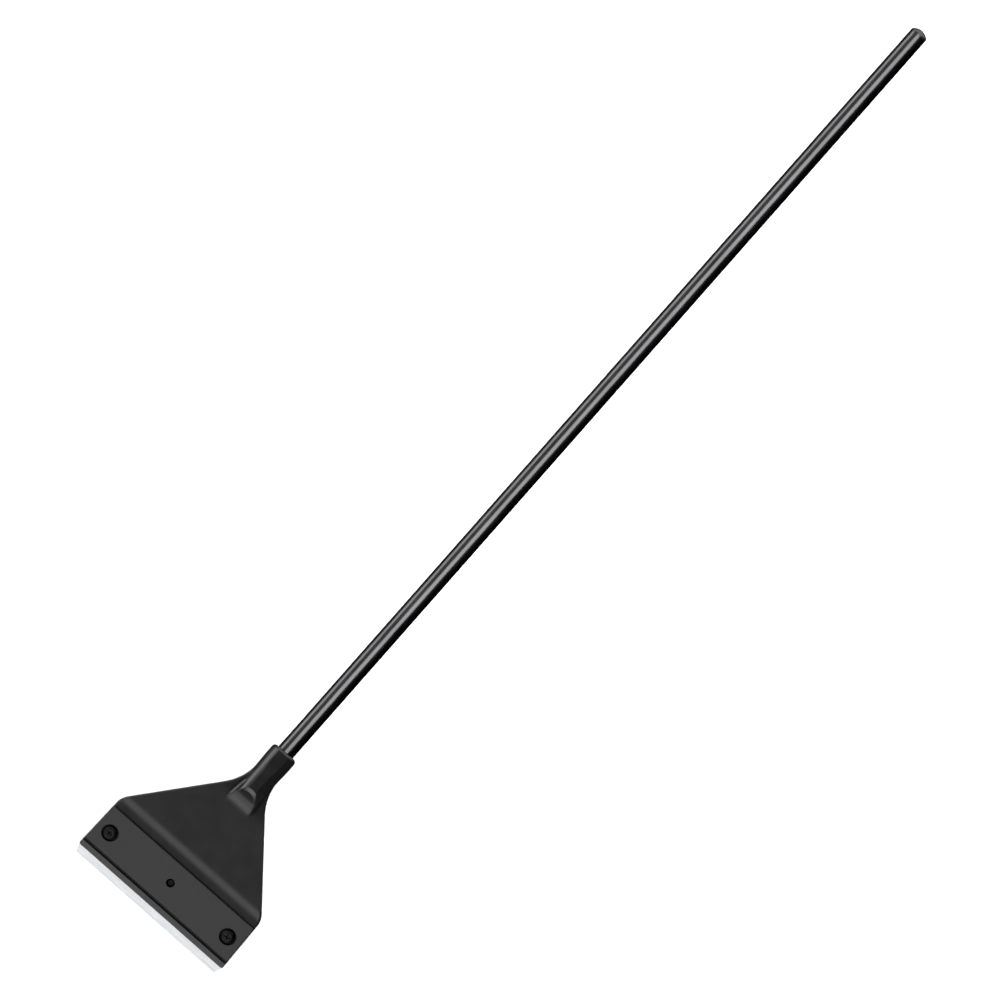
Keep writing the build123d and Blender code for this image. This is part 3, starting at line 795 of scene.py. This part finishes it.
stud_low, stud_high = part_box("handle_stud")
thread = grow(
    "stud_thread", thread_tree, stud_steel, on_handle(stud_low.y), Radius=M6_RADIUS, Pitch=1.0 * MM,
    Depth=0.6 * MM, Length=tube_low.y - stud_low.y, Segments=96, Rows=140)
spigot_radius = TUBE_RADIUS - TUBE_WALL
spigot_length = stud_high.y - tube_low.y
spigot = lathe("stud_spigot", [
    (0, 0), (spigot_radius - STUD_CHAMFER, 0), (spigot_radius, STUD_CHAMFER),
    (spigot_radius, spigot_length - SPIGOT_CHAMFER), (spigot_radius - SPIGOT_CHAMFER, spigot_length),
    (0, spigot_length)], stud_steel, on_handle(tube_low.y))
stand("threaded_stud", merge("threaded_stud", thread, spigot), "handle", "stud_steel", "handle_stud")

# %% [markdown]
# The plug's dome is an arc, whose radius follows from its height and the tube's radius. It is
# polished, so the tube's highlight runs on over it.

# %% Plug
PLUG_DOME = 2.3 * MM

plug_low, plug_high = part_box("tip_plug")
dome_radius = (TUBE_RADIUS ** 2 + PLUG_DOME ** 2) / (2 * PLUG_DOME)
dome_angle = math.degrees(math.acos(TUBE_RADIUS / dome_radius))
plug_length = plug_high.y - plug_low.y
plug_spigot = TUBE_RADIUS - TUBE_WALL - BORE_GAP
rim = tube_high.y - plug_low.y
plug_profile = [
    (0, 0), (plug_spigot - SPIGOT_CHAMFER, 0), (plug_spigot, SPIGOT_CHAMFER),
    (plug_spigot, rim), (TUBE_RADIUS, rim)]
plug_profile += arc(0, plug_length - dome_radius, dome_radius, dome_angle, 90, 16)[:-1] + [(0, plug_length)]
mesh = lathe("tip_plug", plug_profile, plug_plastic, on_handle(plug_low.y))
end_plug = stand("end_plug", mesh, "handle", "plug_plastic", "tip_plug")
for obj in (smooth_tube, end_plug):
    lit_by_strip.objects.link(obj)

# %% [markdown]
# ## Washers and pin
# A washer is stamped: its upper edge is rounded and its lower edge is sharp. The pin's end is
# rounded, so that the plate finds it.

# %% Washers and pin
WASHER_HOLE_RADIUS = M4_RADIUS + 0.15 * MM
WASHER_EDGE = 0.15 * MM
PIN_EDGE = 0.35 * MM

for side in ("left", "right"):
    middle, radius, length = clamp_cylinder(side + "_washer")
    top = length / 2
    ring_profile = [
        (WASHER_HOLE_RADIUS, -top), (radius, -top), (radius, top - WASHER_EDGE),
        (radius - 0.3 * WASHER_EDGE, top - 0.3 * WASHER_EDGE), (radius - WASHER_EDGE, top),
        (WASHER_HOLE_RADIUS + WASHER_EDGE, top), (WASHER_HOLE_RADIUS, top - WASHER_EDGE),
        (WASHER_HOLE_RADIUS, -top)]
    mesh = lathe(side + "_washer", ring_profile, washer_steel, place_on(middle, CLAMP_NORMAL))
    stand(side + "_steel_washer", mesh, side + "_fastener", "washer_steel", side + "_washer")

middle, radius, length = clamp_cylinder("locating_pin")
pin_profile = [(0, -length / 2), (radius, -length / 2)]
pin_profile += arc(radius - PIN_EDGE, length / 2 - PIN_EDGE, PIN_EDGE, 0, 90, 4) + [(0, length / 2)]
mesh = lathe("locating_pin", pin_profile, pin_steel, place_on(middle, CLAMP_NORMAL), 64)
stand("steel_locating_pin", mesh, "head", "pin_steel", "locating_pin")

# %% [markdown]
# ## Cross recess
# The recess takes a cross-point driver. It is cut by two crossed wedges that narrow towards
# the bottom, with a boolean, because the cut meets the head's rounded top at every angle.

# %% Cross recess
HEAD_RADIUS = 3.5 * MM
HEAD_HEIGHT = 2.2 * MM
HEAD_ROUND = 1.1 * MM
CROSS_TOP = 4.62 * MM
CROSS_BOTTOM = 1.5 * MM
CROSS_WIDTH = 0.95 * MM
CROSS_TAPER = 0.7
CROSS_DEPTH = 1.5 * MM
CROSS_ABOVE = 0.3 * MM


def wedge(shape, turn):
    """One wing of the cross, wide at the top of the head."""
    ends = (
        (CROSS_BOTTOM / 2, CROSS_TAPER * CROSS_WIDTH / 2, HEAD_HEIGHT - CROSS_DEPTH),
        (CROSS_TOP / 2, CROSS_WIDTH / 2, HEAD_HEIGHT + CROSS_ABOVE))
    corners = [
        shape.verts.new((x * half_length, y * half_width, height))
        for half_length, half_width, height in ends
        for x, y in ((-1, -1), (1, -1), (1, 1), (-1, 1))]
    bottom, top = corners[:4], corners[4:]
    shape.faces.new(bottom[::-1])
    shape.faces.new(top)
    for k in range(4):
        following = (k + 1) % 4
        shape.faces.new((bottom[k], bottom[following], top[following], top[k]))
    bmesh.ops.rotate(shape, verts=corners, matrix=Matrix.Rotation(math.radians(turn), 3, "Z"))


def cross_cutter():
    """Two crossed wings as one mesh."""
    shape = bmesh.new()
    for turn in (0, 90):
        wedge(shape, turn)
    mesh = bpy.data.meshes.new("cross")
    shape.to_mesh(mesh)
    shape.free()
    return mesh


def cut_out(mesh, cutter_mesh):
    """Mesh with the cutter taken out of it."""
    target = bpy.data.objects.new("cut_target", mesh)
    cutter = bpy.data.objects.new("cut_tool", cutter_mesh)
    for obj in (target, cutter):
        bpy.context.scene.collection.objects.link(obj)
    modifier = target.modifiers.new("cross", "BOOLEAN")
    modifier.object = cutter
    modifier.solver = "EXACT"
    modifier.use_self = True
    bpy.context.view_layer.update()
    result = bpy.data.meshes.new_from_object(target.evaluated_get(bpy.context.evaluated_depsgraph_get()))
    bpy.data.objects.remove(target)
    bpy.data.objects.remove(cutter)
    return result


# %% [markdown]
# ## Screws
# The clamp screws are M4 pan heads. The head is turned and the cross cut into it, and the
# rolled thread is joined under it. The two crosses stand a little off square, as left by hand.

# %% Screws
SCREW_LENGTH = 6.0 * MM
CROSS_TURN = 12.0

rounding = arc(HEAD_RADIUS - HEAD_ROUND, HEAD_HEIGHT - HEAD_ROUND, HEAD_ROUND, 0, 90)
head_profile = [(0, 0), (HEAD_RADIUS, 0), *rounding, (0, HEAD_HEIGHT)]

for side, turn in (("left", -CROSS_TURN), ("right", CROSS_TURN)):
    middle, radius, length = clamp_cylinder(side + "_washer")
    seat = middle + length / 2 * CLAMP_NORMAL
    head = cut_out(lathe(side + "_head", head_profile, screw_steel), cross_cutter())
    head.transform(place_on(seat, CLAMP_NORMAL) @ Matrix.Rotation(math.radians(turn), 4, "Z"))
    shank = grow(
        side + "_shank", thread_tree, screw_steel, place_on(seat - SCREW_LENGTH * CLAMP_NORMAL, CLAMP_NORMAL),
        Radius=M4_RADIUS, Pitch=0.7 * MM, Depth=0.43 * MM, Length=SCREW_LENGTH, Segments=72, Rows=110)
    mesh = merge(side + "_screw", head, shank)
    stand(side + "_machine_screw", mesh, side + "_fastener", "screw_steel", side + "_screw")

# %% [markdown]
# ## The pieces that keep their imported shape
# The head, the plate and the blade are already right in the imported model, so they only get
# their finish.

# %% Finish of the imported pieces
for node, finish in (
    ("head_body", head_plastic), ("clamp_plate", plate_plastic), ("blade", blade_steel)):
    dress(NODES[node], finish)
